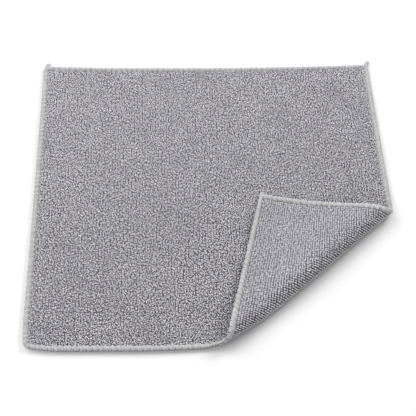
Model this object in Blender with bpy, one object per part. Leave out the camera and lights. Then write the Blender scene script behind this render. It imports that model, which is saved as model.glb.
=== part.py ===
"""Microfibre cleaning cloth, lying flat with its front right corner folded back over it.

The cloth is one cut square of knitted terry with an overlocked hem on all four sides, and short tails
of overlocking thread at three of its corners.  It is made as it comes off the machine, as one flat
closed solid.  It is then cut into strips along the crease and folded: every point keeps its place along
the crease and is carried round a loose roll and down onto the cloth again.

Units are metres and +Z is up.  The cloth rests on Z = 0 and its front edge faces -Y.
"""

import math

import bmesh
import bpy
import numpy as np

# ---- the cut cloth
SIDE = 0.320  # each side of the square
LEAN = math.radians(1.87)  # how far the pull of the knit leans the square to the left at its back
THICKNESS = 0.0028  # terry with its pile on both faces
HEM_WIDTH = 0.0056
HEM_THICKNESS = 0.0038
HEM_CREST = 0.0024  # from the edge to the thickest line of the hem
HEM_ROUND_STEPS = 4  # from the edge to the crest
HEM_SLOPE_STEPS = 2  # from the crest to the terry
SHARPEST_RADIUS = 0.0004  # of an inner line of the hem as it turns a corner
CORNER_STEPS = 5

# corners in turn, anticlockwise from the front left: the radius that the overlocking leaves
CORNERS = (
    {"u": 0.0, "v": 0.0, "radius": 0.0062},
    {"u": SIDE, "v": 0.0, "radius": 0.0032},
    {"u": SIDE, "v": SIDE, "radius": 0.0034},
    {"u": 0.0, "v": SIDE, "radius": 0.0062},
)

# where the cloth is pulled out of square: how far to the right and to the back at the place itself,
# and how far from it the pull has died out
PULLS = (
    {"u": 0.0, "v": 0.0, "right": -0.0010, "back": 0.0, "reach": 0.110},
    {"u": 0.0, "v": 0.0, "right": 0.0023, "back": 0.0036, "reach": 0.034},
    {"u": SIDE, "v": SIDE, "right": 0.0009, "back": 0.0040, "reach": 0.160},
    {"u": 0.0, "v": SIDE, "right": -0.0004, "back": 0.0026, "reach": 0.110},
)

# thread tails, each from a root inside the hem: heading is anticlockwise from the front edge
TAILS = (
    {"u": 0.3174, "v": 0.0024, "heading": math.radians(4), "length": 0.0052, "width": 0.0046},
    {"u": 0.3170, "v": 0.3170, "heading": math.radians(64), "length": 0.0096, "width": 0.0048},
    {"u": 0.0034, "v": 0.3160, "heading": math.radians(80), "length": 0.0094, "width": 0.0058},
)
TAIL_THICKNESS = 0.0030
TAIL_SIDES = 12
TAIL_RINGS = 8

# ---- the fold
CREASE_FRONT = 0.1610  # where the crease meets the front edge, from the left corner
CREASE_RIGHT = 0.1300  # where it meets the right edge, from the folded corner
LAYER_GAP = 0.0005  # between the folded corner's hem and the cloth below
SETTLE_START = 0.003  # from the end of the roll to where the flap starts to level out
DRIFT_U = 0.0063  # how far the pull of the fold carries the flap sideways
DRIFT_V = 0.0016
DRIFT_REACH = 0.080  # past the roll, where that pull is reached
SHIFT_BACK = 0.0022  # how far the whole flap lies further back than its crease alone would put it
SHIFT_REACH = 0.020  # from the middle of the roll to where the flap has shifted all the way
GATHER_BACK = 0.0027  # how far the cloth is gathered back beside the front end of the crease
GATHER_PEAK = 0.0085  # length of path at which it is gathered the most
GATHER_REACH = 0.043  # before that place, where the gathering begins
GATHER_PAST = 0.009  # past that place, where it has ended
GATHER_ALONG = 0.25  # share of the crease along which it dies out

# sections along the crease, from 0 at the front edge to 1 at the right edge: cloth in the roll,
# cloth that slopes down before the flap lies level, and how far the roll bows outwards
SECTIONS = (
    {"along": 0.0, "roll": 0.0310, "settle": 0.0560, "bow": 0.0033},
    {"along": 0.2, "roll": 0.0205, "settle": 0.0555, "bow": 0.0032},
    {"along": 0.5, "roll": 0.0270, "settle": 0.0555, "bow": 0.0026},
    {"along": 0.8, "roll": 0.0280, "settle": 0.0680, "bow": -0.0012},
    {"along": 1.0, "roll": 0.0265, "settle": 0.0770, "bow": -0.0038},
)

# ---- the strips that the solid is cut into before it is folded
ROLL_CUT = 0.0020  # between cuts through the roll
ROLL_CUT_FROM = -0.020  # across the crease, less than 0 on the lying side
ROLL_CUT_TO = 0.020
FLAP_CUT = 0.0075  # between cuts through the flap
FLAP_CUT_TO = 0.115
CROSS_CUT = 0.0135  # between the cuts that run across the crease
LYING_CUT = 0.030  # between cuts through the cloth that lies flat, both ways
LYING_REACH = 0.360  # the furthest that the cloth lies from either end of the crease

PATH_SAMPLES = 200  # steps used to add up the path of the cloth round the roll
TURN_SEARCHES = 40  # halvings used to find how far the roll turns

TERRY_COLOUR = (0.315, 0.305, 0.330, 1.0)
TERRY_ROUGHNESS = 0.95


def remove_everything():
    for item in list(bpy.data.objects):
        bpy.data.objects.remove(item, do_unlink=True)


def ease(x):
    """Smooth step from 0 to 1."""
    x = np.clip(x, 0.0, 1.0)
    return x * x * (3.0 - 2.0 * x)


def section_value(name, along):
    """A column of SECTIONS at any place along the crease, joined by cubics with matching slopes."""
    places = np.array([row["along"] for row in SECTIONS])
    values = np.array([row[name] for row in SECTIONS])
    slopes = np.gradient(values, places)
    along = np.clip(along, places[0], places[-1])
    left = np.clip(np.searchsorted(places, along, side="right") - 1, 0, len(places) - 2)
    span = places[left + 1] - places[left]
    t = (along - places[left]) / span
    start = (1.0 + 2.0 * t) * (1.0 - t) ** 2 * values[left] + t * (1.0 - t) ** 2 * span * slopes[left]
    end = t * t * (3.0 - 2.0 * t) * values[left + 1] - t * t * (1.0 - t) * span * slopes[left + 1]
    return start + end


def place_flat(u, v):
    """Place on the surface of a point of the flat cloth, measured from its front left corner."""
    x = (u - SIDE / 2) - math.tan(LEAN) * (v - SIDE / 2)
    y = v - SIDE / 2
    return x, y


def pull_cloth(u, v):
    """Pull the cloth out of square near its corners, less and less away from them."""
    pulled_u, pulled_v = u, v
    for pull in PULLS:
        away = np.hypot(u - pull["u"], v - pull["v"])
        share = np.maximum(1.0 - away / pull["reach"], 0.0) ** 2
        pulled_u = pulled_u + pull["right"] * share
        pulled_v = pulled_v + pull["back"] * share
    return pulled_u, pulled_v


def crease_frame():
    """Start, direction, outward direction and length of the crease, on the surface."""
    start = np.array(place_flat(CREASE_FRONT, 0.0))
    end = np.array(place_flat(SIDE, CREASE_RIGHT))
    length = math.dist(start, end)
    direction = (end - start) / length
    outward = np.array((direction[1], -direction[0]))
    return start, direction, outward, length


def cloth_angle(path, roll, settle, extra):
    """How far the cloth has turned, at a length of path past the start of the roll.

    It turns by half a circle and a little extra round the roll, then loses the extra as it settles.
    """
    turned = (math.pi + extra) * ease(path / roll)
    levelled = extra * ease((path - roll - SETTLE_START) / settle)
    return turned - levelled


def cloth_path(path, roll, settle, extra):
    """Distance across the crease and height reached along the path, added up in short steps."""
    steps = (np.arange(PATH_SAMPLES) + 0.5) / PATH_SAMPLES
    lengths = path[:, None] * steps[None, :]
    angle = cloth_angle(lengths, roll[:, None], settle[:, None], extra[:, None])
    step = path / PATH_SAMPLES
    return np.cos(angle).sum(axis=1) * step, np.sin(angle).sum(axis=1) * step


def extra_turn(roll, settle):
    """Extra turn of the roll that brings the flap level just above the cloth, found by halving."""
    rise = (THICKNESS + HEM_THICKNESS) / 2 + LAYER_GAP
    low = np.zeros_like(roll)
    high = np.full_like(roll, math.pi / 2)
    for _ in range(TURN_SEARCHES):
        middle = (low + high) / 2
        height = cloth_path(roll + SETTLE_START + settle, roll, settle, middle)[1]
        too_high = height > rise
        low = np.where(too_high, middle, low)
        high = np.where(too_high, high, middle)
    return (low + high) / 2


def fold(points):
    """Carry points of the flat solid onto the folded cloth.

    The columns are u, v and the height above the middle of the cloth's thickness.
    """
    u, v, height = points.T
    start, direction, outward, length = crease_frame()
    x, y = place_flat(*pull_cloth(u, v))
    beside = (x - start[0]) * direction[0] + (y - start[1]) * direction[1]
    across = (x - start[0]) * outward[0] + (y - start[1]) * outward[1]

    along = beside / length
    roll = section_value("roll", along)
    settle = section_value("settle", along)
    bow = section_value("bow", along)
    extra = extra_turn(roll, settle)

    path = across - bow + roll / 2
    rolled = np.maximum(path, 0.0)
    over, rise = cloth_path(rolled, roll, settle, extra)
    angle = cloth_angle(rolled, roll, settle, extra)
    reach = np.where(path < 0.0, path, over) - roll / 2 + bow

    # where the cloth lies, its hem is raised so that its underside is level with the terry's
    edge = np.minimum(np.minimum(u, SIDE - u), np.minimum(v, SIDE - v))
    hem = ease((HEM_WIDTH - edge) / (HEM_WIDTH - HEM_CREST))
    lying = 1.0 - ease(path / roll)
    height = height + (HEM_THICKNESS - THICKNESS) / 2 * hem * lying

    reach = reach - np.sin(angle) * height
    drift = np.maximum((path - roll) / DRIFT_REACH, 0.0) ** 2
    shift = SHIFT_BACK * ease((path - roll / 2) / SHIFT_REACH)
    # beside the front end of the crease the cloth is gathered back, up to part of the way round the roll
    gather = np.clip(1.0 + (path - GATHER_PEAK) / GATHER_REACH, 0.0, 1.0) ** 2
    gather = gather * (1.0 - ease((path - GATHER_PEAK) / GATHER_PAST)) * ease(1.0 - along / GATHER_ALONG)
    shift = shift + GATHER_BACK * gather
    x = start[0] + beside * direction[0] + reach * outward[0] + DRIFT_U * drift
    y = start[1] + beside * direction[1] + reach * outward[1] + DRIFT_V * drift + shift
    z = np.maximum(THICKNESS / 2 + rise + np.cos(angle) * height, 0.0)
    return np.stack((x, y, z), axis=1)


def outline(inset):
    """Points of a line that runs round the cloth at an inset from its edge, anticlockwise."""
    points = []
    for turn, corner in enumerate(CORNERS):
        radius = max(corner["radius"] - inset, SHARPEST_RADIUS)
        toward_u = 1.0 if corner["u"] == 0.0 else -1.0
        toward_v = 1.0 if corner["v"] == 0.0 else -1.0
        centre_u = corner["u"] + toward_u * (inset + radius)
        centre_v = corner["v"] + toward_v * (inset + radius)
        for step in range(CORNER_STEPS + 1):
            angle = math.pi + (turn + step / CORNER_STEPS) * math.pi / 2
            points.append((centre_u + radius * math.cos(angle), centre_v + radius * math.sin(angle)))
    return points


def hem_profile():
    """Inset and half thickness of each line of the hem: a quarter ellipse, then a soft slope."""
    profile = []
    for step in range(HEM_ROUND_STEPS + 1):
        angle = math.pi / 2 * step / HEM_ROUND_STEPS
        profile.append((HEM_CREST * (1 - math.cos(angle)), HEM_THICKNESS / 2 * math.sin(angle)))
    for step in range(1, HEM_SLOPE_STEPS + 1):
        share = step / HEM_SLOPE_STEPS
        inset = HEM_CREST + (HEM_WIDTH - HEM_CREST) * share
        half = HEM_THICKNESS / 2 + (THICKNESS - HEM_THICKNESS) / 2 * float(ease(share))
        profile.append((inset, half))
    return profile


def flat_cloth():
    """The flat cloth as a closed solid: lines of the hem bridged on both faces, and the terry within."""
    shape = bmesh.new()
    profile = hem_profile()
    edge = [shape.verts.new((u, v, 0.0)) for u, v in outline(profile[0][0])]
    count = len(edge)
    for side in (1.0, -1.0):
        outer = edge
        for inset, half in profile[1:]:
            inner = [shape.verts.new((u, v, side * half)) for u, v in outline(inset)]
            for i in range(count):
                j = (i + 1) % count
                shape.faces.new((outer[i], outer[j], inner[j], inner[i]))
            outer = inner
        shape.faces.new(outer)
    bmesh.ops.recalc_face_normals(shape, faces=shape.faces)
    return shape


def thread_tail(tail):
    """A round-ended closed tail of thread, lying flat, drawn in towards its root."""
    shape = bmesh.new()
    bmesh.ops.create_uvsphere(shape, u_segments=TAIL_SIDES, v_segments=TAIL_RINGS, radius=1.0)
    heading = tail["heading"]
    for vertex in shape.verts:
        # the sphere's poles are turned to lie along the tail
        forward = vertex.co.z
        aside = vertex.co.x * tail["width"] / 2
        ahead = tail["length"] / 2 * (1.0 + forward)
        height = vertex.co.y * TAIL_THICKNESS / 2
        u = tail["u"] + ahead * math.cos(heading) - aside * math.sin(heading)
        v = tail["v"] + ahead * math.sin(heading) + aside * math.cos(heading)
        vertex.co = (u, v, height)
    bmesh.ops.recalc_face_normals(shape, faces=shape.faces)
    return shape


def make_object(name, shape):
    mesh = bpy.data.meshes.new(name)
    shape.to_mesh(mesh)
    shape.free()
    item = bpy.data.objects.new(name, mesh)
    bpy.context.collection.objects.link(item)
    return item


def joined_flat_solid():
    """The flat cloth with its thread tails joined to it."""
    cloth = make_object("flat_cloth", flat_cloth())
    helpers = [cloth]
    for number, tail in enumerate(TAILS):
        item = make_object(f"tail_{number + 1}", thread_tail(tail))
        joint = cloth.modifiers.new(item.name, "BOOLEAN")
        joint.operation = "UNION"
        joint.solver = "EXACT"
        joint.object = item
        helpers.append(item)
    bpy.context.view_layer.update()
    evaluated = cloth.evaluated_get(bpy.context.evaluated_depsgraph_get())
    shape = bmesh.new()
    shape.from_mesh(evaluated.to_mesh())
    evaluated.to_mesh_clear()
    for item in helpers:
        bpy.data.objects.remove(item, do_unlink=True)
    return shape


def cut(shape, place, normal):
    """Cut every face that an upright plane passes through."""
    everything = list(shape.verts) + list(shape.edges) + list(shape.faces)
    bmesh.ops.bisect_plane(shape, geom=everything, dist=1e-7, plane_co=place, plane_no=normal)


def flat_from_crease(beside, across):
    """Point of the flat cloth at a place along and across the crease."""
    start, direction, outward, _ = crease_frame()
    x, y = start + beside * direction + across * outward
    v = y + SIDE / 2
    u = x + SIDE / 2 + math.tan(LEAN) * (v - SIDE / 2)
    return np.array((u, v, 0.0))


def strip_lines():
    """Distances across the crease at which the solid is cut: close in the roll, wider elsewhere."""
    roll = np.arange(ROLL_CUT_FROM, ROLL_CUT_TO + ROLL_CUT / 2, ROLL_CUT)
    flap = np.arange(ROLL_CUT_TO + FLAP_CUT, FLAP_CUT_TO, FLAP_CUT)
    lying = np.arange(ROLL_CUT_FROM - LYING_CUT, -LYING_REACH, -LYING_CUT)
    return [*lying, *roll, *flap]


def cross_lines():
    """Distances along the crease at which the solid is cut, wider beyond the crease's two ends."""
    length = crease_frame()[3]
    beside_fold = np.arange(CROSS_CUT / 2, length, CROSS_CUT)
    before = np.arange(-LYING_CUT / 2, -LYING_REACH, -LYING_CUT)
    beyond = np.arange(length + LYING_CUT / 2, length + LYING_REACH, LYING_CUT)
    return [*before, *beside_fold, *beyond]


def cut_strips(shape):
    """Cut the flat solid into strips along the crease, and across it."""
    corner = flat_from_crease(0.0, 0.0)
    along_crease = flat_from_crease(1.0, 0.0) - corner
    across_crease = flat_from_crease(0.0, 1.0) - corner
    normal_to_crease = np.array((along_crease[1], -along_crease[0], 0.0))
    normal_to_cross = np.array((across_crease[1], -across_crease[0], 0.0))
    for across in strip_lines():
        cut(shape, flat_from_crease(0.0, across), normal_to_crease)
    for beside in cross_lines():
        cut(shape, flat_from_crease(beside, 0.0), normal_to_cross)


def terry_material():
    material = bpy.data.materials.new("light_grey_terry")
    material.use_nodes = True
    surface = material.node_tree.nodes["Principled BSDF"]
    surface.inputs["Base Color"].default_value = TERRY_COLOUR
    surface.inputs["Roughness"].default_value = TERRY_ROUGHNESS
    surface.inputs["Metallic"].default_value = 0.0
    return material


def folded_cloth():
    """The finished cloth, centred on its own outline."""
    shape = joined_flat_solid()
    cut_strips(shape)
    bmesh.ops.triangulate(shape, faces=shape.faces, quad_method="BEAUTY", ngon_method="BEAUTY")
    shape.verts.ensure_lookup_table()
    flat = np.array([vertex.co for vertex in shape.verts])
    folded = fold(flat)
    middle = (folded.min(axis=0) + folded.max(axis=0)) / 2
    folded[:, :2] -= middle[:2]
    for vertex, place in zip(shape.verts, folded):
        vertex.co = place
    cloth = make_object("cloth", shape)
    cloth.data.materials.append(terry_material())
    cloth.data.shade_smooth()
    cloth.data.set_sharp_from_angle(angle=math.radians(50))
    return cloth


remove_everything()
folded_cloth()
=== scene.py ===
"""Microfibre cleaning cloth with its front right corner folded back over it.

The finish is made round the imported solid: a thin knitted ground with its hem, loops of yarn on both
faces, the overlocking threads that wrap the hem, and the chains of thread that run off three corners.
Every piece is worked out on the flat square of cloth, in u along the front edge, v along the left edge
and the height above the middle of the thickness, and is then carried round the fold.

Units are metres and +Z is up.  The cloth rests on Z = 0 and its front edge faces -Y.
"""

import math

import bpy
import numpy as np
from bpy.props import FloatProperty, FloatVectorProperty, PointerProperty
from bpy.types import Operator, Panel, PropertyGroup
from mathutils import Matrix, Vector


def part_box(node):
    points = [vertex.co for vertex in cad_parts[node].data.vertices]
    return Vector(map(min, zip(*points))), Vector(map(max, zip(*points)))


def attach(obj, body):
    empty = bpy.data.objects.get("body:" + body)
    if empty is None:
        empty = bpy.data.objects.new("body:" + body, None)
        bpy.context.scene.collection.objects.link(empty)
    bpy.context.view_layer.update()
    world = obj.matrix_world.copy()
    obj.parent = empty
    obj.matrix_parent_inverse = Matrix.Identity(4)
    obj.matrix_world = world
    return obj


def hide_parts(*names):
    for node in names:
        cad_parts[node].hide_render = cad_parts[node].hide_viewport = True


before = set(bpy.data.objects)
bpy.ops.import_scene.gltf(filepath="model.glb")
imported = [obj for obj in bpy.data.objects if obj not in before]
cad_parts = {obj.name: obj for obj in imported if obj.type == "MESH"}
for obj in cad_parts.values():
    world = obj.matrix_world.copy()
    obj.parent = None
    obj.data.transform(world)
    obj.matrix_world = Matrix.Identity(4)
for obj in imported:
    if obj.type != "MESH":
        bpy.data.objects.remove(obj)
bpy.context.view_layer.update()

bl_info = {
    "name": "Folded microfibre cloth",
    "version": (1, 0, 0),
    "blender": (4, 5, 0),
    "location": "3D View > Sidebar > Cloth",
    "description": "Makes a looped microfibre cloth with an overlocked hem and a folded corner",
    "category": "Add Mesh",
}

SOLID = "cloth"
BODY = "root"

# ---- the cut cloth and its fold, with the sizes that the solid is made from
SIDE = 0.320
LEAN = math.radians(1.87)
THICKNESS = 0.0028
HEM_WIDTH = 0.0056
HEM_THICKNESS = 0.0038
HEM_CREST = 0.0024
SHARPEST_RADIUS = 0.0004
CORNERS = (
    {"u": 0.0, "v": 0.0, "radius": 0.0062},
    {"u": SIDE, "v": 0.0, "radius": 0.0032},
    {"u": SIDE, "v": SIDE, "radius": 0.0034},
    {"u": 0.0, "v": SIDE, "radius": 0.0062},
)
PULLS = (
    {"u": 0.0, "v": 0.0, "right": -0.0010, "back": 0.0, "reach": 0.110},
    {"u": 0.0, "v": 0.0, "right": 0.0023, "back": 0.0036, "reach": 0.034},
    {"u": SIDE, "v": SIDE, "right": 0.0009, "back": 0.0040, "reach": 0.160},
    {"u": 0.0, "v": SIDE, "right": -0.0004, "back": 0.0026, "reach": 0.110},
)
TAILS = (
    {"u": 0.3174, "v": 0.0024, "heading": math.radians(4), "length": 0.0052, "width": 0.0046},
    {"u": 0.3170, "v": 0.3170, "heading": math.radians(64), "length": 0.0096, "width": 0.0048},
    {"u": 0.0034, "v": 0.3160, "heading": math.radians(80), "length": 0.0094, "width": 0.0058},
)
TAIL_THICKNESS = 0.0030
CREASE_FRONT = 0.1610  # where the crease meets the front edge, from the left corner
CREASE_RIGHT = 0.1300  # where it meets the right edge, from the folded corner
LAYER_GAP = 0.0005  # between the folded corner's hem and the cloth below
SETTLE_START = 0.003  # from the end of the roll to where the flap starts to level out
DRIFT_U = 0.0063  # how far the pull of the fold carries the flap sideways, and to the back
DRIFT_V = 0.0016
DRIFT_REACH = 0.080  # past the roll, where that pull is reached
SHIFT_BACK = 0.0022  # how far the whole flap lies further back than its crease would put it
SHIFT_REACH = 0.020  # from the middle of the roll to where it has shifted all the way
GATHER_BACK = 0.0027  # how far the cloth is gathered back beside the front end of the crease
GATHER_PEAK = 0.0085  # length of path at which it is gathered the most
GATHER_REACH = 0.043  # before that place, where the gathering begins
GATHER_PAST = 0.009  # past that place, where it has ended
GATHER_ALONG = 0.25  # share of the crease along which it dies out
SECTIONS = (
    {"along": 0.0, "roll": 0.0310, "settle": 0.0560, "bow": 0.0033},
    {"along": 0.2, "roll": 0.0205, "settle": 0.0555, "bow": 0.0032},
    {"along": 0.5, "roll": 0.0270, "settle": 0.0555, "bow": 0.0026},
    {"along": 0.8, "roll": 0.0280, "settle": 0.0680, "bow": -0.0012},
    {"along": 1.0, "roll": 0.0265, "settle": 0.0770, "bow": -0.0038},
)
PATH_SAMPLES = 120  # steps used to add up the path of the cloth round the roll
TURN_SEARCHES = 40  # halvings used to find how far the roll turns
TURN_SAMPLES = 61  # places along the crease where that is worked out
RIM_SAMPLES = 4000  # points round the outline that give its lowest corner
FOLD_BATCH = 20000  # points folded at a time, which keeps the arrays small

# ---- the knitted ground, inside the pile
GROUND_EDGE = 0.0005  # its edge, in from the hem's outer edge
GROUND_STEP = 0.0030
GROUND_LINES = (0.0005, 0.0009, 0.0015, 0.0024, 0.0034, 0.0044, 0.0052, 0.0062, 0.0078)
GROUND_HALF = 0.00045
HEM_CORE_HALF = 0.00150
HEM_TONE = ((0.0016, 0.60), (0.0026, 1.0), (0.0047, 1.0), (0.0059, 0.0))  # inset, share of thread colour, lower at the very edge as painted shade between the thread's legs

# ---- the overlocking threads, round the edge and down to the needle line
THREAD_EDGE = 0.00010  # the thread's middle at the cloth's edge, in from it
THREAD_NEEDLE = 0.0047
THREAD_CREST_HEIGHT = 0.00168
THREAD_NEEDLE_HEIGHT = 0.00100
EDGE_SHARE = 0.46  # share of a thread's swing that is on the rounded edge
SWING_FROM = 0.07  # where the face's and the reverse's threads turn, short of meeting
SWING_STEP = 0.02  # either way along the swing, to find the hem's slope under a thread
THREAD_SIDES = 6
STITCH_POINTS = 8
STITCH_REACH = 0.98  # mean share of the way to the needle line that a stitch goes
STITCH_PAUSES = 0.95  # how nearly a stitch moves along the hem only at the two ends of its swing
STITCH_ALTERNATES = 0.10  # how much wider and longer every other stitch is than the mean
STITCH_SHADES = 1.6  # share of the two thread colours that a stitch's factor is worth
STITCH_VARIES = 0.14  # how much a stitch's width, length and place vary besides, either way
STITCH_SEED = 13
# share of its width that a thread has at the edge, gains over a part of its swing and loses at the end
SPREAD = {"at_edge": 0.66, "gained": 0.34, "from": 0.08, "over": 0.3}
SPREAD_END = {"lost": 0.30, "from": 0.8, "over": 0.2}

# ---- the thread tails, each of strands that twist round one another
TAIL_STRANDS = 3
TAIL_STRAND_RADIUS = 0.00078
TAIL_TWIST = 0.0052  # length of tail in which a strand goes round once
TAIL_RINGS = 22
TAIL_SIDES = 8
TAIL_DRAWS_IN = 0.92  # how nearly the strands meet at a tail's two ends
STRAND_TAPER = 0.9  # how nearly a strand comes to a point, and how late
STRAND_TAPER_POWER = 8

# ---- the yarn of the pile, whose wales run from front to back on both faces
PILE_TOP = 0.00165  # height of the pile above the middle of the cloth
PILE_EDGE = 0.0049  # how far the pile keeps from the edge of the cloth
LOOP_RINGS = (0.22, 0.78)  # shares of a loop's length
LOOP_ROOT = 0.0001  # height of a loop's two ends, inside the ground
LOOP_SQUARENESS = 4  # the power that flattens a loop's arch
LOOP_LENGTHS = (0.75, 1.3)  # least and greatest, as shares of the length given below
LOOP_WIDTHS = (0.88, 1.12)
FACE_PIECES = 4  # the face's loops are parted into pieces of a moderate size, from front to back
FACE_SEED = 11
# root_painted_shade is how much darker a loop is painted towards its roots: painted shade deep in the pile
FACE = {
    "columns": (0.27, 0.73), "start": 1.0, "wander_u": 0.12, "wander_v": 0.25, "heading_spread": 1.2,
    "length": 0.0011, "bend": 0.0005, "width": 0.00105, "sink": 0.0006, "sides": 3,
    "shade": 1.04, "shade_spread": 0.32, "root_painted_shade": 0.66,
}
REVERSE = {
    "columns": (0.5,), "start": 0.0, "wander_u": 0.09, "wander_v": 0.12, "heading_spread": 0.35,
    "length": 0.0021, "bend": 0.0001, "width": 0.00148, "sink": 0.0003, "sides": 4,
    "shade": 0.53, "shade_spread": 0.07, "root_painted_shade": 0.48,
}
REVERSE_SEED = 12
# the reverse's two pieces: the lengths of path they lie between, and how much larger and further
# apart their loops are
REVERSE_ZONES = (
    {"name": "reverse_loops_folded", "widen": 1.0, "from": -0.012, "to": 1.0},
    {"name": "reverse_loops_lying", "widen": 1.6, "from": -1.0, "to": -0.012},
)
ROLL_PARTING = 0.23  # share by which loops are shorter and thinner up to the middle of the roll
ROLL_PARTS_TO = 0.012  # length of path up to which they are so, and over which they then fill out
ROLL_CLOSES_OVER = 0.024
RIDGE_PAINTED_LIGHT = 0.55  # how much lighter the loops are painted on the outermost ridge of the roll: painted light where the roll catches light from the floor
RIDGE_AT = 0.009  # length of path to that ridge, and over which that painted light fades on either side
RIDGE_FADE = 0.007
FLAP_SHADE = -0.42  # added to the shade of the loops past the roll
FLAP_ROOTS = -0.40  # added there to how much darker their roots are painted, the painted shade deep in the pile
FLAP_GROUND = 0.55  # share of thread colour in the ground there, which lightens the ground's painted shade
FLAP_TURNS = 1.2  # how much further loops turn either way there
FLAP_WANDER = 0.00045  # how much further they stand from their columns and rows
FLAP_SHORTER = 0.18  # share by which they are shorter than REVERSE gives

# ---- finishes: shares are of the way from the darkest to the lightest colour, scales are to a metre
YARN_SURFACE = {"Roughness": 0.92, "Sheen Weight": 0.25, "Sheen Roughness": 0.5}
YARN_TONE = 0.62
YARN_LIFT = 0.12
PATCH_SCALE = 38.0
PATCH_SHARE = 0.30
# fine light and dark strands: painted highlights and shade between the yarn's filaments
STRAND_SCALE = 600.0
STRAND_PAINTED_LIGHT_SHARE = 0.8
BAND_SCALE = 60.0
WAVE_PAINTED_LIGHT_SHARE = 0.20
BAND_STRETCH = (0.25, 1.0, 1.0)  # broad bands of painted light and shade, of shallow waves in the cloth, run from left to right
FIBRE_SCALE = 5200.0
FIBRE_DEPTH = 0.00012
GROUND_SURFACE = {"Roughness": 0.95}
KNIT_SCALE = 900.0
KNIT_DEPTH = 0.0003
THREAD_SURFACE = {"Roughness": 0.9, "Sheen Weight": 0.15}
THREAD_TONE = 0.55
THREAD_MEAN = 0.5  # mean tone of a thread
FILAMENT_SCALE = 900.0
FILAMENT_SHARE = 0.45
FILAMENT_DEPTH = 0.00010


def ease(x):
    """Smooth step from 0 to 1: three times the square less twice the cube."""
    x = np.clip(x, 0.0, 1.0)
    return x * x * (3.0 - 2.0 * x)


def edge_inset(u, v):
    """Distance of a flat point from the nearest side of the square."""
    return np.minimum(np.minimum(u, SIDE - u), np.minimum(v, SIDE - v))


def unit(vectors):
    """Vectors of any array shape, each made one long."""
    return vectors / np.linalg.norm(vectors, axis=-1, keepdims=True)


# ---- the fold


def section_value(name, along):
    """A column of SECTIONS at any place along the crease, joined by cubics with matching slopes."""
    places = np.array([row["along"] for row in SECTIONS])
    values = np.array([row[name] for row in SECTIONS])
    slopes = np.gradient(values, places)
    along = np.clip(along, places[0], places[-1])
    left = np.clip(np.searchsorted(places, along, side="right") - 1, 0, len(places) - 2)
    span = places[left + 1] - places[left]
    t = (along - places[left]) / span
    start = (1.0 + 2.0 * t) * (1.0 - t) ** 2 * values[left] + t * (1.0 - t) ** 2 * span * slopes[left]
    end = t * t * (3.0 - 2.0 * t) * values[left + 1] - t * t * (1.0 - t) * span * slopes[left + 1]
    return start + end


def place_flat(u, v):
    """Place on the surface of a point of the flat cloth, which leans to the left at its back."""
    return (u - SIDE / 2) - math.tan(LEAN) * (v - SIDE / 2), v - SIDE / 2


def pull_cloth(u, v):
    """Pull the cloth out of square near its corners, by a share that falls as a square with distance."""
    pulled_u, pulled_v = u, v
    for pull in PULLS:
        away = np.hypot(u - pull["u"], v - pull["v"])
        share = np.maximum(1.0 - away / pull["reach"], 0.0) ** 2
        pulled_u = pulled_u + pull["right"] * share
        pulled_v = pulled_v + pull["back"] * share
    return pulled_u, pulled_v


def crease_frame():
    """Start, direction, outward direction and length of the crease, on the surface."""
    start = np.array(place_flat(CREASE_FRONT, 0.0))
    end = np.array(place_flat(SIDE, CREASE_RIGHT))
    length = math.dist(start, end)
    direction = (end - start) / length
    return start, direction, np.array((direction[1], -direction[0])), length


def cloth_angle(path, roll, settle, extra):
    """Turn of the cloth along its path: half a circle and the extra, less the extra as it settles."""
    return (math.pi + extra) * ease(path / roll) - extra * ease((path - roll - SETTLE_START) / settle)


def cloth_path(path, roll, settle, extra):
    """Distance across the crease and height reached: the turn's cosine and sine added up along it."""
    steps = (np.arange(PATH_SAMPLES) + 0.5) / PATH_SAMPLES
    angle = cloth_angle(path[:, None] * steps, roll[:, None], settle[:, None], extra[:, None])
    step = path / PATH_SAMPLES
    return np.cos(angle).sum(axis=1) * step, np.sin(angle).sum(axis=1) * step


def extra_turn(roll, settle):
    """Extra turn that brings the flap level just above the cloth below, found by halving."""
    rise = (THICKNESS + HEM_THICKNESS) / 2 + LAYER_GAP
    low, high = np.zeros_like(roll), np.full_like(roll, math.pi / 2)
    for _ in range(TURN_SEARCHES):
        middle = (low + high) / 2
        too_high = cloth_path(roll + SETTLE_START + settle, roll, settle, middle)[1] > rise
        low, high = np.where(too_high, middle, low), np.where(too_high, high, middle)
    return (low + high) / 2


TURN_PLACES = np.linspace(0.0, 1.0, TURN_SAMPLES)
TURN_VALUES = extra_turn(section_value("roll", TURN_PLACES), section_value("settle", TURN_PLACES))


def crease_places(u, v):
    """Distances of a flat point along the crease and across it, and its share of the crease."""
    start, direction, outward, length = crease_frame()
    x, y = place_flat(*pull_cloth(u, v))
    beside = (x - start[0]) * direction[0] + (y - start[1]) * direction[1]
    across = (x - start[0]) * outward[0] + (y - start[1]) * outward[1]
    return beside, across, np.clip(beside / length, 0.0, 1.0)


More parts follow.
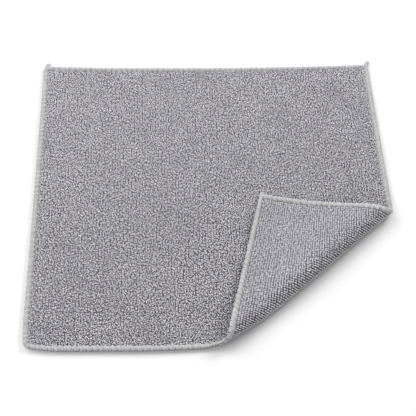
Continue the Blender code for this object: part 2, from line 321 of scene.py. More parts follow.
def fold_batch(points):
    """Carry flat points onto the folded cloth: each keeps its place along the crease and follows the
    cloth's path round the roll, standing off it by its height at right angles."""
    u, v, height = points.T
    start, direction, outward, _ = crease_frame()
    beside, across, along = crease_places(u, v)
    roll, settle, bow = (section_value(name, along) for name in ("roll", "settle", "bow"))
    extra = np.interp(along, TURN_PLACES, TURN_VALUES)
    path = across - bow + roll / 2

    over, rise, angle = np.zeros_like(u), np.zeros_like(u), np.zeros_like(u)
    turned = np.flatnonzero(path > 0.0)
    if len(turned):
        at = [values[turned] for values in (path, roll, settle, extra)]
        over[turned], rise[turned] = cloth_path(*at)
        angle[turned] = cloth_angle(*at)
    reach = np.where(path < 0.0, path, over) - roll / 2 + bow

    # where the cloth lies, its hem is raised so that its underside is level with the pile's
    hem = ease((HEM_WIDTH - edge_inset(u, v)) / (HEM_WIDTH - HEM_CREST))
    height = height + (HEM_THICKNESS - THICKNESS) / 2 * hem * (1.0 - ease(path / roll))

    reach = reach - np.sin(angle) * height
    drift = np.maximum((path - roll) / DRIFT_REACH, 0.0) ** 2
    shift = SHIFT_BACK * ease((path - roll / 2) / SHIFT_REACH)
    gather = np.clip(1.0 + (path - GATHER_PEAK) / GATHER_REACH, 0.0, 1.0) ** 2
    gather = gather * (1.0 - ease((path - GATHER_PEAK) / GATHER_PAST)) * ease(1.0 - along / GATHER_ALONG)
    shift = shift + GATHER_BACK * gather
    x = start[0] + beside * direction[0] + reach * outward[0] + DRIFT_U * drift
    y = start[1] + beside * direction[1] + reach * outward[1] + DRIFT_V * drift + shift
    z = np.maximum(THICKNESS / 2 + rise + np.cos(angle) * height, 0.0)
    return np.stack((x, y, z), axis=1)


def fold(points):
    """Flat points of any array shape, folded in batches."""
    flat = points.reshape(-1, 3)
    batches = np.array_split(flat, max(1, len(flat) // FOLD_BATCH))
    return np.concatenate([fold_batch(batch) for batch in batches]).reshape(points.shape)


def fold_path(u, v):
    """Length of path past the start of the roll of a flat point, less than 0 where the cloth lies."""
    _, across, along = crease_places(u, v)
    return across - section_value("bow", along) + section_value("roll", along) / 2


def flap_share(path):
    """Smooth step along the path, from 0 at the middle of the roll to 1 past the roll."""
    return ease((path - ROLL_PARTS_TO) / ROLL_CLOSES_OVER)


# ---- the outline


def arc_point(turn, share, inset):
    """Point of a corner's arc, at a share of its quarter turn and an inset from the edge."""
    radii, us, vs = (np.array([corner[name] for corner in CORNERS]) for name in ("radius", "u", "v"))
    radius = np.maximum(radii[turn] - inset, SHARPEST_RADIUS)
    to_middle = inset + radius
    centre_u = us[turn] + np.where(us[turn] == 0.0, to_middle, -to_middle)
    centre_v = vs[turn] + np.where(vs[turn] == 0.0, to_middle, -to_middle)
    angle = math.pi + (turn + share) * math.pi / 2
    return centre_u + radius * np.cos(angle), centre_v + radius * np.sin(angle)


def rim_lengths():
    """Lengths of the outline's eight stretches in turn: an arc, then the side that follows it."""
    radii = np.array([corner["radius"] for corner in CORNERS])
    return np.column_stack((radii * math.pi / 2, SIDE - radii - np.roll(radii, -1))).ravel()


def rim(distance, inset):
    """Flat point at a distance round the outline, anticlockwise from the left side's front end, and
    an inset from the edge: on an arc by its angle, on a side by its share between two arcs' ends."""
    lengths = rim_lengths()
    starts = np.concatenate(([0.0], np.cumsum(lengths)))
    distance = np.mod(distance, starts[-1])
    stretch = np.clip(np.searchsorted(starts, distance, side="right") - 1, 0, len(lengths) - 1)
    share = (distance - starts[stretch]) / lengths[stretch]
    turn, on_side = stretch // 2, stretch % 2 == 1
    here_u, here_v = arc_point(turn, np.where(on_side, 1.0, share), inset)
    next_u, next_v = arc_point((turn + 1) % len(CORNERS), np.zeros_like(share), inset)
    along = np.where(on_side, share, 0.0)
    return here_u + (next_u - here_u) * along, here_v + (next_v - here_v) * along


def round_corners(u, v):
    """Bend a square grid to the rounded corners: on each square line round the cloth, the length of
    one radius on either side of the corner is laid over an eighth of a turn."""
    for corner in CORNERS:
        a, b = np.abs(u - corner["u"]), np.abs(v - corner["v"])
        inset, beyond = np.minimum(a, b), np.abs(a - b)
        radius = np.maximum(corner["radius"] - inset, SHARPEST_RADIUS)
        angle = math.pi / 4 * np.clip(1.0 - beyond / radius, 0.0, 1.0)
        bent_long = np.where(beyond < radius, inset + radius * (1.0 - np.sin(angle)), inset + beyond)
        bent_short = inset + radius * (1.0 - np.cos(angle))
        a, b = np.where(a > b, bent_long, bent_short), np.where(a > b, bent_short, bent_long)
        u = corner["u"] + np.where(corner["u"] == 0.0, a, -a)
        v = corner["v"] + np.where(corner["v"] == 0.0, b, -b)
    return u, v


def frame_shift():
    """What carries folded points into the frame: the solid's lowest corner less the outline's."""
    distance = np.linspace(0.0, rim_lengths().sum(), RIM_SAMPLES)
    u, v = rim(distance, np.zeros_like(distance))
    low = fold(np.stack((u, v, np.zeros_like(u)), axis=1)).min(axis=0)
    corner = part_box(SOLID)[0]
    return np.array((corner[0] - low[0], corner[1] - low[1], 0.0))


SHIFT = frame_shift()


# ---- meshes

NO_TRIANGLES = np.empty((0, 3), int)


def make_piece(name, flat_points, quads, triangles, finish, tone):
    """Fold the flat points, build the mesh from whole arrays and place it on the cloth's body."""
    points = fold(flat_points.reshape(-1, 3)) + SHIFT
    corners = np.concatenate((quads.ravel(), triangles.ravel())).astype(np.int32)
    totals = np.concatenate((np.full(len(quads), 4), np.full(len(triangles), 3)))
    starts = np.concatenate(([0], np.cumsum(totals)[:-1])).astype(np.int32)
    mesh = bpy.data.meshes.new(name)
    mesh.vertices.add(len(points))
    mesh.vertices.foreach_set("co", points.astype(np.float32).ravel())
    mesh.loops.add(len(corners))
    mesh.loops.foreach_set("vertex_index", corners)
    mesh.polygons.add(len(starts))
    mesh.polygons.foreach_set("loop_start", starts)
    mesh.update(calc_edges=True)
    if mesh.validate():
        raise RuntimeError(f"{name} has faces that Blender had to mend")
    mesh.shade_smooth()
    attribute = mesh.attributes.new("tone", "FLOAT", "POINT")
    attribute.data.foreach_set("value", tone.astype(np.float32).ravel())
    mesh.materials.append(finish)
    piece = bpy.data.objects.new(name, mesh)
    bpy.context.scene.collection.objects.link(piece)
    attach(piece, BODY)
    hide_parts(SOLID)
    return piece


def tube_faces(rings, sides, closed):
    """Quads of a tube whose ring r has vertices r * sides on, going anticlockwise seen from its front
    end.  A closed tube joins its last ring to its first."""
    ring = np.arange(rings if closed else rings - 1)[:, None]
    side = np.arange(sides)[None, :]
    here, after = ring * sides, (ring + 1) % rings * sides
    following = (side + 1) % sides
    quads = np.stack((here + side, here + following, after + following, after + side), axis=-1)
    return quads.reshape(-1, 4)


def capped_tube_faces(rings, sides):
    """Quads and end triangles of a tube whose first and last vertices are its two end points."""
    quads = tube_faces(rings, sides, closed=False) + 1
    side = np.arange(sides)
    following = (side + 1) % sides
    last = 1 + (rings - 1) * sides
    start = np.stack((np.zeros_like(side), following + 1, side + 1), axis=1)
    end = np.stack((np.full_like(side, last + sides), side + last, following + last), axis=1)
    return quads, np.concatenate((start, end))


def repeat_faces(faces, count, stride):
    """The faces of one shape, repeated for count shapes whose vertices are stride apart."""
    return (faces[None] + np.arange(count)[:, None, None] * stride).reshape(-1, faces.shape[1])


def wound_for(side, quads, triangles):
    """Faces as they are on the face of the cloth, and turned over on its reverse."""
    return (quads, triangles) if side > 0 else (quads[:, ::-1], triangles[:, ::-1])


def ring_directions(tangent, angle):
    """Directions at right angles to unit tangents, at angles from the level one up."""
    level = np.stack((-tangent[..., 1], tangent[..., 0], np.zeros_like(tangent[..., 0])), axis=-1)
    level = unit(level)
    upward = np.cross(tangent, level)
    return level[..., None, :] * np.cos(angle)[:, None] + upward[..., None, :] * np.sin(angle)[:, None]


def turn_flat(points, u, v, heading):
    """Points given ahead, aside and up, turned to a heading and carried to the flat point u, v."""
    cos, sin = np.cos(heading), np.sin(heading)
    flat_u = u + points[..., 0] * cos - points[..., 1] * sin
    flat_v = v + points[..., 0] * sin + points[..., 1] * cos
    return np.stack((flat_u, flat_v, points[..., 2]), axis=-1)


# ---- the knitted ground


def ground_lines():
    """Places of the grid's lines along a side: close together under the hem, then evenly spaced."""
    margin = GROUND_LINES[-1]
    count = round((SIDE - 2 * margin) / GROUND_STEP)
    inner = np.linspace(margin, SIDE - margin, count + 1)
    outer = np.array(GROUND_LINES[:-1])
    return np.concatenate((outer, inner, SIDE - outer[::-1]))


def ground_half(inset):
    """Half thickness of the ground: a quarter ellipse up to the hem's crest, then a slope down to the
    terry, which starts at the needle line."""
    to_crest = np.clip((inset - GROUND_EDGE) / (HEM_CREST - GROUND_EDGE), 0.0, 1.0)
    bead = HEM_CORE_HALF * np.sqrt(1.0 - (1.0 - to_crest) ** 2)
    slope = ease((inset - HEM_CREST) / (HEM_WIDTH - HEM_CREST))
    return np.where(inset < HEM_CREST, bead, HEM_CORE_HALF + (GROUND_HALF - HEM_CORE_HALF) * slope)


def ground_mesh():
    """Flat points, quads and tone of the closed ground: a grid for each face, which share the rim's
    points.  The tone is the share of thread colour, which the flap's reverse has some of too."""
    lines = ground_lines()
    count = len(lines)
    u, v = np.meshgrid(lines, lines)
    inset = edge_inset(u, v)
    half = ground_half(inset)
    round_u, round_v = round_corners(u, v)
    face = np.stack((round_u, round_v, half), axis=-1).reshape(-1, 3)
    reverse = np.stack((round_u, round_v, -half), axis=-1).reshape(-1, 3)
    row, column = np.divmod(np.arange(count * count), count)
    on_rim = (row == 0) | (row == count - 1) | (column == 0) | (column == count - 1)
    reverse_index = np.where(on_rim, np.arange(count * count), 0)
    reverse_index[~on_rim] = count * count + np.arange((~on_rim).sum())
    cell = (np.arange(count - 1)[:, None] * count + np.arange(count - 1)[None, :]).ravel()
    quads = np.stack((cell, cell + 1, cell + count + 1, cell + count), axis=1)
    tone = np.interp(inset, *zip(*HEM_TONE)).ravel()
    points = np.concatenate((face, reverse[~on_rim]))
    flap = flap_share(fold_path(round_u, round_v).ravel())
    tone = np.concatenate((tone, np.maximum(tone, FLAP_GROUND * flap)[~on_rim]))
    return points, np.concatenate((quads, reverse_index[quads[:, ::-1]])), tone


# ---- the pile


def loop_points(u, v, heading, bend, length, top, width, sides):
    """Flat points of arched loops of yarn, as (loop, point, 3), on the face of the cloth.

    A loop's middle line runs forward evenly, swings aside by a parabola and rises as one less a high
    power of its distance from the middle.  Round it go rings of yarn, closed by a point at each end.
    """
    share = np.array((0.0, *LOOP_RINGS, 1.0))
    from_middle = 2.0 * share - 1.0
    forward = length[:, None] * (share - 0.5)
    aside = bend[:, None] * (1.0 - from_middle**2)
    height = LOOP_ROOT + (top[:, None] - LOOP_ROOT) * (1.0 - from_middle**LOOP_SQUARENESS)
    line = np.stack((forward, aside, height), axis=-1)
    tangent = np.stack(
        (
            np.broadcast_to(length[:, None], forward.shape),
            -4.0 * bend[:, None] * from_middle,
            -2.0 * LOOP_SQUARENESS * (top[:, None] - LOOP_ROOT) * from_middle ** (LOOP_SQUARENESS - 1),
        ),
        axis=-1,
    )
    around = ring_directions(unit(tangent), 2.0 * math.pi * (np.arange(sides) + 0.5) / sides)
    rings = line[:, 1:-1, None] + around[:, 1:-1] * (width / 2)[:, None, None, None]
    points = np.concatenate((line[:, :1], rings.reshape(len(u), -1, 3), line[:, -1:]), axis=1)
    return turn_flat(points, u[:, None], v[:, None], heading[:, None])


def pile_sites(wale, course, shape, draw):
    """Flat points where loops are rooted, and each loop's share of the spread of shades.

    The loops stand in columns on wales that run from front to back, with a little wander either way
    from an even grid.  Down a column each pair's shades have their mean taken away, so that light and
    dark loops are evenly mixed.
    """
    wales, courses = round(SIDE / wale), 2 * round(SIDE / course / 2)
    places = (np.arange(wales)[:, None] + np.array(shape["columns"])).ravel()
    row, place = np.meshgrid(np.arange(courses), places, indexing="ij")
    start = draw.uniform(0.0, 1.0, len(places)) * shape["start"]
    u = (place + shape["wander_u"] * draw.uniform(-1.0, 1.0, place.shape)) * SIDE / wales
    v = (row + start + shape["wander_v"] * draw.uniform(-1.0, 1.0, row.shape)) * SIDE / courses
    pairs = draw.normal(0.0, math.sqrt(2.0), (courses // 2, 2, len(places)))
    shade = (pairs - pairs.mean(axis=1, keepdims=True)).reshape(u.shape)
    grows = edge_inset(u, v) > PILE_EDGE
    return u[grows], v[grows], shade[grows]


def reverse_shape(path, widen):
    """REVERSE for loops at lengths of path, and how far each is onto the flap, from 0 to 1.

    Up to the middle of the roll the loops are shorter and thinner, and on its ridge they are painted
    lighter, as painted light that the roll catches.  Past the roll they have their full width, turn further
    and are darker, most of all at the tips, as less shade is painted at their roots there.
    """
    flap = flap_share(path)
    ridge = 1.0 - ease(np.abs(path - RIDGE_AT) / RIDGE_FADE)
    size = widen * (1.0 - ROLL_PARTING * (1.0 - flap))
    shape = dict(REVERSE)
    shape["heading_spread"] = REVERSE["heading_spread"] + FLAP_TURNS * flap
    shape["length"] = REVERSE["length"] * size * (1.0 - FLAP_SHORTER * flap)
    shape["width"] = REVERSE["width"] * size
    shape["shade"] = REVERSE["shade"] + RIDGE_PAINTED_LIGHT * ridge[:, None] + FLAP_SHADE * flap[:, None]
    shape["root_painted_shade"] = REVERSE["root_painted_shade"] + FLAP_ROOTS * flap[:, None]
    return shape, flap


def make_pile(name, side, u, v, shade, draw, shape, finish):
    """Loops of yarn rooted at the flat points u, v of one face of the cloth, as one piece."""
    count = len(u)
    heading = math.pi / 2 + shape["heading_spread"] * draw.uniform(-1.0, 1.0, count)
    length = shape["length"] * draw.uniform(*LOOP_LENGTHS, count)
    bend = shape["bend"] * draw.uniform(-1.0, 1.0, count)
    width = shape["width"] * draw.uniform(*LOOP_WIDTHS, count)
    top = PILE_TOP - width / 2 - shape["sink"] * draw.uniform(0.0, 1.0, count)
    points = loop_points(u, v, heading, bend, length, top, width, shape["sides"])
    points[..., 2] *= side
    one_loop = capped_tube_faces(len(LOOP_RINGS), shape["sides"])
    faces = [repeat_faces(kind, count, points.shape[1]) for kind in one_loop]
    lift = np.abs(points[..., 2]) / PILE_TOP
    # each loop's tone, painted darker towards its roots as shade deep in the pile
    tone = shape["shade"] + shape["shade_spread"] * shade[:, None] - shape["root_painted_shade"] * (1.0 - lift)
    make_piece(name, points, *wound_for(side, *faces), finish, np.clip(tone, 0.0, 1.0))


# ---- the overlocking


def hem_line(swing):
    """Inset and height of a thread's middle at a share of its way from the cloth's edge to the needle
    line: a quarter ellipse round the edge, then an eased slope."""
    turn = np.clip(swing / EDGE_SHARE, 0.0, 1.0) * math.pi / 2
    beyond = np.maximum((swing - EDGE_SHARE) / (1.0 - EDGE_SHARE), 0.0)
    inset = HEM_CREST - (HEM_CREST - THREAD_EDGE) * np.cos(turn) + (THREAD_NEEDLE - HEM_CREST) * beyond
    drop = (THREAD_CREST_HEIGHT - THREAD_NEEDLE_HEIGHT) * ease(beyond)
    return inset, THREAD_CREST_HEIGHT * np.sin(turn) - drop


def stitch_values(t, stitches, draw):
    """Factors near 1 along a thread: drawn for each leg of each stitch, larger on every other stitch,
    and joined by straight lines between the legs' ends."""
    legs = 2 * stitches
    every_other = 1.0 - 2.0 * (np.arange(legs) // 2 % 2)
    values = 1.0 + STITCH_ALTERNATES * every_other + STITCH_VARIES * draw.uniform(-1.0, 1.0, legs)
    return np.interp(np.mod(2.0 * t, legs), np.arange(legs + 1), np.append(values, values[0]))


def thread_tube(distance, swing, across, thick, side):
    """Closed thread that lies on the hem, as flat points and quads.

    Each ring is an ellipse at right angles to the thread, laid flat on the hem: its short axis is at
    right angles to the hem's own profile.
    """
    inset, height = hem_line(swing)
    line = np.stack((distance, inset, side * height), axis=-1)
    tangent = np.roll(line, -1, axis=0) - np.roll(line, 1, axis=0)
    total = rim_lengths().sum()
    tangent[:, 0] -= total * np.round(tangent[:, 0] / total)
    tangent = unit(tangent)
    before, after = hem_line(swing - SWING_STEP), hem_line(swing + SWING_STEP)
    fall, run = before[1] - after[1], after[0] - before[0]
    outward = np.stack((np.zeros_like(inset), fall, side * run), axis=-1)
    outward = unit(outward - tangent * (outward * tangent).sum(axis=1, keepdims=True))
    level = np.cross(outward, tangent)
    angle = 2.0 * math.pi * np.arange(THREAD_SIDES) / THREAD_SIDES
    flatwise = level[:, None] * np.cos(angle)[None, :, None] * (across / 2)[:, None, None]
    upright = outward[:, None] * np.sin(angle)[None, :, None] * (thick / 2)[:, None, None]
    points = line[:, None] + flatwise + upright
    u, v = rim(points[..., 0], points[..., 1])
    flat = np.stack((u, v, points[..., 2]), axis=-1)
    return flat, tube_faces(len(line), THREAD_SIDES, closed=True)


def tail_strand(tail, number):
    """Flat points of one strand of a tail.

    The strand goes round the tail's line on an ellipse of the tail's width and thickness, which draws
    in at both ends as the square root of one less the square of the distance from the tail's middle.
    Its own radius falls in the same way, by a high power of that distance.
    """
    share = np.linspace(0.0, 1.0, TAIL_RINGS)
    from_middle = 2.0 * share - 1.0
    draw_in = np.sqrt(np.clip(1.0 - TAIL_DRAWS_IN * from_middle**2, 0.0, 1.0))
    turn = 2.0 * math.pi * (number / TAIL_STRANDS + share * tail["length"] / TAIL_TWIST)
    ahead = TAIL_STRAND_RADIUS + (tail["length"] - 2.0 * TAIL_STRAND_RADIUS) * share
    aside = (tail["width"] / 2 - TAIL_STRAND_RADIUS) * draw_in * np.cos(turn)
    height = (TAIL_THICKNESS / 2 - TAIL_STRAND_RADIUS) * draw_in * np.sin(turn)
    line = np.stack((ahead, aside, height), axis=-1)
    tangent = unit(np.gradient(line, axis=0))
    around = ring_directions(tangent, 2.0 * math.pi * np.arange(TAIL_SIDES) / TAIL_SIDES)
    taper = STRAND_TAPER * np.abs(from_middle) ** STRAND_TAPER_POWER
    radius = TAIL_STRAND_RADIUS * np.sqrt(1.0 - taper)
    rings = line[:, None] + around * radius[:, None, None]
    ends = (line[0] - tangent[0] * radius[0], line[-1] + tangent[-1] * radius[-1])
    points = np.concatenate((ends[0][None], rings.reshape(-1, 3), ends[1][None]))
    return turn_flat(points, tail["u"], tail["v"], tail["heading"])


# ---- finishes


class Signal:
    """A value that runs through a material's nodes.  Arithmetic on it adds Math nodes."""

    def __init__(self, finish, socket):
        self.finish, self.socket = finish, socket

    def math(self, operation, first, second):
        return self.finish.node("ShaderNodeMath", {"operation": operation}, {0: first, 1: second})

    def __add__(self, other):
        return self.math("ADD", self, other)

    def __radd__(self, other):
        return self.math("ADD", other, self)

    def __sub__(self, other):
        return self.math("SUBTRACT", self, other)

    def __rsub__(self, other):
        return self.math("SUBTRACT", other, self)

    def __mul__(self, other):
        return self.math("MULTIPLY", self, other)

    def __rmul__(self, other):
        return self.math("MULTIPLY", other, self)


class Finish:
    """A material and its nodes."""

    def __init__(self, name, values):
        self.material = bpy.data.materials.new(name)
        self.material.use_nodes = True
        self.nodes = self.material.node_tree.nodes
        self.links = self.material.node_tree.links
        self.surface = self.nodes["Principled BSDF"]
        for socket, value in values.items():
            self.surface.inputs[socket].default_value = value

    def node(self, kind, settings, values, output=0):
        """A node of any type: its settings first, then the values or links of its sockets."""
        made = self.nodes.new(kind)
        for name, value in settings.items():
            setattr(made, name, value)
        for name, value in values.items():
            if isinstance(value, Signal):
                self.links.new(value.socket, made.inputs[name])
            else:
                made.inputs[name].default_value = value
        return Signal(self, made.outputs[output])

    def mix(self, share, first, second):
        """Colour between two, by a share."""
        values = {"Factor": share, 6: first, 7: second}
        return self.node("ShaderNodeMix", {"data_type": "RGBA"}, values, output=2)

    def tone(self):
        return self.node("ShaderNodeAttribute", {"attribute_name": "tone"}, {}, output="Fac")

    def place(self):
        return self.node("ShaderNodeTexCoord", {}, {}, output="Object")

    def noise(self, place, scale, detail=2.0):
        values = {"Vector": place, "Scale": scale, "Detail": detail}
        return self.node("ShaderNodeTexNoise", {}, values, output="Fac")

    def stretch(self, place, factors):
        """Place with each of its axes multiplied by a factor of its own."""
        values = {0: place, 1: factors}
        return self.node("ShaderNodeVectorMath", {"operation": "MULTIPLY"}, values, output="Vector")

    def feed(self, socket, signal):
        self.links.new(signal.socket, self.surface.inputs[socket])

    def bump(self, height, distance):
        values = {"Height": height, "Distance": distance, "Strength": 1.0}
        self.feed("Normal", self.node("ShaderNodeBump", {}, values, output="Normal"))


def rgba(colour):
    return (*colour, 1.0)


def yarn_finish(name, dark, light):
    """Brushed yarn: each loop its own shade, darker at its roots as painted shade, with patches a little
    lighter or darker, fine strands painted as highlights and shade between the filaments, and broad bands
    from left to right painted as the light and shade of shallow waves in the cloth."""
    finish = Finish(name, YARN_SURFACE)
    place = finish.place()
    patches = finish.noise(place, PATCH_SCALE, detail=3.0)
    strands = finish.noise(place, STRAND_SCALE, detail=1.0)
    bands = finish.noise(finish.stretch(place, BAND_STRETCH), BAND_SCALE, detail=1.0)
    share = finish.tone() * YARN_TONE + patches * PATCH_SHARE + (strands - 0.5) * STRAND_PAINTED_LIGHT_SHARE
    share = share + (bands - 0.5) * WAVE_PAINTED_LIGHT_SHARE + YARN_LIFT
    finish.feed("Base Color", finish.mix(share, rgba(dark), rgba(light)))
    finish.bump(finish.noise(place, FIBRE_SCALE), distance=FIBRE_DEPTH)
    return finish.material


def ground_finish(name, dark, light, thread):
    """Fine knit that shows between the loops, painted dark as the shade deep in the pile, and the layers of
    thread that fill the hem.
    """
    finish = Finish(name, GROUND_SURFACE)
    knit = finish.noise(finish.place(), KNIT_SCALE)
    terry = finish.mix(knit, rgba(dark), rgba(light))
    finish.feed("Base Color", finish.mix(finish.tone(), terry, rgba(thread)))
    finish.bump(knit, distance=KNIT_DEPTH)
    return finish.material


def thread_finish(name, dark, light):
    """Fluffy overlocking thread, lighter than the yarn, with fine filaments."""
    finish = Finish(name, THREAD_SURFACE)
    filaments = finish.noise(finish.place(), FILAMENT_SCALE)
    share = finish.tone() * THREAD_TONE + filaments * FILAMENT_SHARE
    finish.feed("Base Color", finish.mix(share, rgba(dark), rgba(light)))
    finish.bump(filaments, distance=FILAMENT_DEPTH)
    return finish.material


# ---- what a user may change


def length_property(name, description, default):
    return FloatProperty(
        name=name, description=description, default=default, min=0.0, unit="LENGTH", precision=5
    )


def colour_property(name, description, default):
    return FloatVectorProperty(
        name=name, description=description, default=default, size=3, min=0.0, max=1.0, subtype="COLOR"
    )


class ClothPileSizes(PropertyGroup):
    face_wale: length_property("Face wale", "Distance between wales of loops on the face", 0.0025)
    face_course: length_property("Face course", "Distance between loops along a wale on the face", 0.0017)
    reverse_wale: length_property("Reverse wale", "Distance between wales of loops on the reverse", 0.00186)
    reverse_course: length_property("Reverse course", "Distance between loops along those wales", 0.0022)


class ClothHemSizes(PropertyGroup):
    stitch: length_property("Stitch length", "Length of an overlocking stitch", 0.00256)
    thread_across: length_property("Thread width", "Width of the flattened thread", 0.0015)
    thread_thick: length_property("Thread thickness", "Thickness of the flattened thread", 0.00050)


class ClothColours(PropertyGroup):
    yarn_dark: colour_property("Darkest yarn", "Colour of the darkest loops", (0.37, 0.362, 0.420))
    yarn_light: colour_property("Lightest yarn", "Colour of the lightest loops", (0.97, 0.955, 1.0))
    # the ground's two colours are painted shade: the dark depths of the pile between the loops
    ground_painted_shade_dark: colour_property("Darkest ground", "Darkest colour of the ground", (0.05, 0.049, 0.055))
    ground_painted_shade_light: colour_property("Lightest ground", "Lightest colour of the ground", (0.09, 0.088, 0.10))
    thread_dark: colour_property("Darkest thread", "Darkest colour of the thread", (0.35, 0.35, 0.355))
    thread_light: colour_property("Lightest thread", "Lightest colour of the thread", (0.64, 0.64, 0.645))
    floor: colour_property("Floor", "Colour of the floor", (0.92, 0.92, 0.92))


# ---- operators


class CLOTH_OT_ground(Operator):
    """Make the knitted ground and the body of its hem"""

    bl_idname = "cloth.make_ground"
    bl_label = "Make the ground"

    def execute(self, context):
        colours = context.scene.cloth_colours
        finish = ground_finish(
            "knitted_ground", colours.ground_painted_shade_dark, colours.ground_painted_shade_light, colours.thread_dark
        )
        points, quads, tone = ground_mesh()
        make_piece("terry_ground", points, quads, NO_TRIANGLES, finish, tone)
        return {"FINISHED"}


class CLOTH_OT_face_pile(Operator):
    """Make the loops on the face, which stand in columns and turn either way"""

    bl_idname = "cloth.make_face_pile"
    bl_label = "Make the face pile"

    def execute(self, context):
        sizes, colours = context.scene.cloth_pile, context.scene.cloth_colours
        finish = yarn_finish("face_yarn", colours.yarn_dark, colours.yarn_light)
        draw = np.random.default_rng(FACE_SEED)
        u, v, shade = pile_sites(sizes.face_wale, sizes.face_course, FACE, draw)
        for number, part in enumerate(np.array_split(np.arange(len(u)), FACE_PIECES)):
            make_pile(f"face_loops_{number + 1}", 1.0, u[part], v[part], shade[part], draw, FACE, finish)
        return {"FINISHED"}


class CLOTH_OT_reverse_pile(Operator):
    """Make the loops on the reverse, in close rows on the folded corner and wider where it lies"""

    bl_idname = "cloth.make_reverse_pile"
    bl_label = "Make the reverse pile"

    def execute(self, context):
        sizes, colours = context.scene.cloth_pile, context.scene.cloth_colours
        finish = yarn_finish("reverse_yarn", colours.yarn_dark, colours.yarn_light)
        draw = np.random.default_rng(REVERSE_SEED)
        for zone in REVERSE_ZONES:
            widen = zone["widen"]
            wale, course = sizes.reverse_wale * widen, sizes.reverse_course * widen
            u, v, shade = pile_sites(wale, course, REVERSE, draw)
            path = fold_path(u, v)
            grows = (path > zone["from"]) & (path <= zone["to"])
            shape, flap = reverse_shape(path[grows], widen)
            stray = FLAP_WANDER * flap * draw.uniform(-1.0, 1.0, (2, len(flap)))
            at = u[grows] + stray[0], v[grows] + stray[1]
            make_pile(zone["name"], -1.0, *at, shade[grows], draw, shape, finish)
        return {"FINISHED"}


class CLOTH_OT_overlock(Operator):
    """Make the two threads that wrap the hem, one over its face and one over its reverse"""

    bl_idname = "cloth.make_overlock"
    bl_label = "Make the overlocking"

    def execute(self, context):
        sizes, colours = context.scene.cloth_hem, context.scene.cloth_colours
        finish = thread_finish("overlock_thread", colours.thread_dark, colours.thread_light)
        total = float(rim_lengths().sum())
        stitches = round(total / sizes.stitch)
        pitch = total / stitches
        t = np.arange(stitches * STITCH_POINTS) / STITCH_POINTS
        draw = np.random.default_rng(STITCH_SEED)
        for name, side in (("overlock_face", 1.0), ("overlock_reverse", -1.0)):
            reach = STITCH_REACH * stitch_values(t, stitches, draw)
            loose = stitch_values(t, stitches, draw)
            plump = stitch_values(t, stitches, draw)
            shift = stitch_values(t, stitches, draw) - 1.0
            tone = THREAD_MEAN + STITCH_SHADES * (stitch_values(t, stitches, draw) - 1.0)
            # in and out across the hem once a stitch, moving along it only near the two ends
            swing = SWING_FROM + (reach - SWING_FROM) * (0.5 + 0.5 * np.cos(2.0 * math.pi * t))
            pauses = STITCH_PAUSES * np.sin(4.0 * math.pi * t) / (4.0 * math.pi)
            distance = pitch * (t + pauses + shift)
            # the thread is spread flat over the hem, narrower round the edge and at the needle line
            spread = SPREAD["at_edge"] + SPREAD["gained"] * ease((swing - SPREAD["from"]) / SPREAD["over"])
            spread -= SPREAD_END["lost"] * ease((swing - SPREAD_END["from"]) / SPREAD_END["over"])
            across, thick = sizes.thread_across * spread * loose, sizes.thread_thick * plump
            flat, quads = thread_tube(distance, swing, across, thick, side)
            make_piece(name, flat, quads, NO_TRIANGLES, finish, tone.repeat(THREAD_SIDES))
        return {"FINISHED"}


class CLOTH_OT_tails(Operator):
    """Make the short chains of thread that run off three corners"""

    bl_idname = "cloth.make_tails"
    bl_label = "Make the thread tails"

    def execute(self, context):
        colours = context.scene.cloth_colours
        finish = thread_finish("tail_thread", colours.thread_dark, colours.thread_light)
        one_strand = capped_tube_faces(TAIL_RINGS, TAIL_SIDES)
        for number, tail in enumerate(TAILS):
            points = np.stack([tail_strand(tail, strand) for strand in range(TAIL_STRANDS)])
            faces = [repeat_faces(kind, TAIL_STRANDS, points.shape[1]) for kind in one_strand]
            tone = np.full(points.shape[:2], THREAD_MEAN)
            make_piece(f"thread_tail_{number + 1}", points, *faces, finish, tone)
        return {"FINISHED"}


CAMERA_LENS = 0.09115
CAMERA_SENSOR = 0.036
CAMERA_DISTANCE = 0.9387
CAMERA_ELEVATION = math.radians(52.45)
CAMERA_TURN = math.radians(-0.218)
CAMERA_TARGET = (-0.00102, -0.01785, 0.0)
MM = 1000  # millimetres in a metre
FLOOR_SURFACE = {"Roughness": 0.8, "Specular IOR Level": 0.1}
FLOOR_REACH = 12.0
FLOOR_DROP = 0.0002  # how far the floor is below the cloth, so that the two don't share a plane
FLOOR_GRAIN_SCALE = 30.0
FLOOR_GRAIN_SHADE = 0.995
LIGHT_REACH = 1.6
LIGHT_SIZE = 1.1
LIGHTS = (  # name, turn from the back towards the right and rise above the floor in degrees, watts
    ("back_right", 45, 28, 27.6),
    ("left", 270, 28, 10.6),
    ("front_left", 225, 28, 9.2),
    ("back_left_high", 315, 55, 8.4),
    ("back_left_low", 315, 28, 7.6),
    ("front_right", 135, 28, 4.2),
)


def aim(thing, turn, rise, distance, target=(0.0, 0.0, 0.0)):
    """Place a lamp or the camera at a distance from its target and point it there: the turn is from
    the back towards the right, and the rise is above the floor."""
    level = distance * math.cos(rise)
    away = (level * math.sin(turn), level * math.cos(turn), distance * math.sin(rise))
    thing.location = [middle + part for middle, part in zip(target, away)]
    thing.rotation_euler = (math.pi / 2 - rise, 0.0, math.pi - turn)


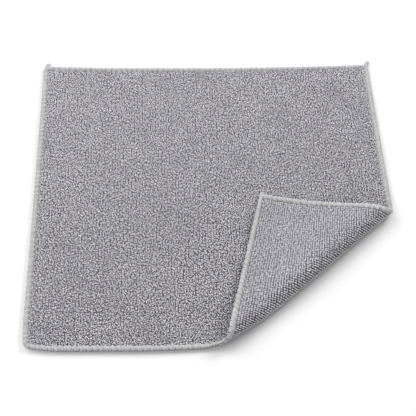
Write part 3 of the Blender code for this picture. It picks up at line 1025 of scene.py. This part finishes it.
class CLOTH_OT_stage(Operator):
    """Make the floor, the lights and the camera"""

    bl_idname = "cloth.set_stage"
    bl_label = "Set the stage"

    def execute(self, context):
        scene = context.scene
        finish = Finish("pale_floor", FLOOR_SURFACE)
        grain = finish.noise(finish.place(), FLOOR_GRAIN_SCALE)
        floor_colour = scene.cloth_colours.floor
        darker = tuple(FLOOR_GRAIN_SHADE * part for part in floor_colour)
        finish.feed("Base Color", finish.mix(grain, rgba(darker), rgba(floor_colour)))
        mesh = bpy.data.meshes.new("floor")
        sides = ((-1, -1), (1, -1), (1, 1), (-1, 1))
        corners = [(x * FLOOR_REACH, y * FLOOR_REACH, 0.0) for x, y in sides]
        mesh.from_pydata(corners, [], [(0, 1, 2, 3)])
        mesh.materials.append(finish.material)
        floor = bpy.data.objects.new("floor", mesh)
        floor.location.z = -FLOOR_DROP
        scene.collection.objects.link(floor)

        world = bpy.data.worlds.new("studio")
        world.use_nodes = True
        world.node_tree.nodes["Background"].inputs["Strength"].default_value = 0.0
        scene.world = world
        for name, turn, rise, power in LIGHTS:
            light = bpy.data.lights.new(name, "AREA")
            light.shape = "DISK"
            light.size = LIGHT_SIZE
            light.energy = power
            lamp = bpy.data.objects.new(name, light)
            aim(lamp, math.radians(turn), math.radians(rise), LIGHT_REACH)
            scene.collection.objects.link(lamp)

        camera = bpy.data.cameras.new("camera")
        camera.sensor_width = CAMERA_SENSOR * MM
        camera.lens = CAMERA_LENS * MM
        eye = bpy.data.objects.new("camera", camera)
        aim(eye, math.pi - CAMERA_TURN, CAMERA_ELEVATION, CAMERA_DISTANCE, CAMERA_TARGET)
        scene.collection.objects.link(eye)
        scene.camera = eye
        scene.view_settings.view_transform = "Standard"
        return {"FINISHED"}


class CLOTH_PT_panel(Panel):
    """Lists the cloth's sizes, colours and steps"""

    bl_label = "Microfibre cloth"
    bl_idname = "CLOTH_PT_panel"
    bl_space_type = "VIEW_3D"
    bl_region_type = "UI"
    bl_category = "Cloth"

    def draw(self, context):
        for group in (context.scene.cloth_pile, context.scene.cloth_hem, context.scene.cloth_colours):
            box = self.layout.box()
            for name in group.__annotations__:
                box.prop(group, name)
        for operator in OPERATORS:
            self.layout.operator(operator.bl_idname)


GROUPS = {"cloth_pile": ClothPileSizes, "cloth_hem": ClothHemSizes, "cloth_colours": ClothColours}
OPERATORS = (
    CLOTH_OT_stage,
    CLOTH_OT_ground,
    CLOTH_OT_face_pile,
    CLOTH_OT_reverse_pile,
    CLOTH_OT_overlock,
    CLOTH_OT_tails,
)


def register():
    for name, group in GROUPS.items():
        bpy.utils.register_class(group)
        setattr(bpy.types.Scene, name, PointerProperty(type=group))
    for kind in (*OPERATORS, CLOTH_PT_panel):
        bpy.utils.register_class(kind)


def unregister():
    for kind in (CLOTH_PT_panel, *reversed(OPERATORS)):
        bpy.utils.unregister_class(kind)
    for name, group in reversed(GROUPS.items()):
        delattr(bpy.types.Scene, name)
        bpy.utils.unregister_class(group)


def main():
    register()
    bpy.ops.cloth.set_stage()
    bpy.ops.cloth.make_ground()
    bpy.ops.cloth.make_face_pile()
    bpy.ops.cloth.make_reverse_pile()
    bpy.ops.cloth.make_overlock()
    bpy.ops.cloth.make_tails()


if __name__ == "__main__":
    main()
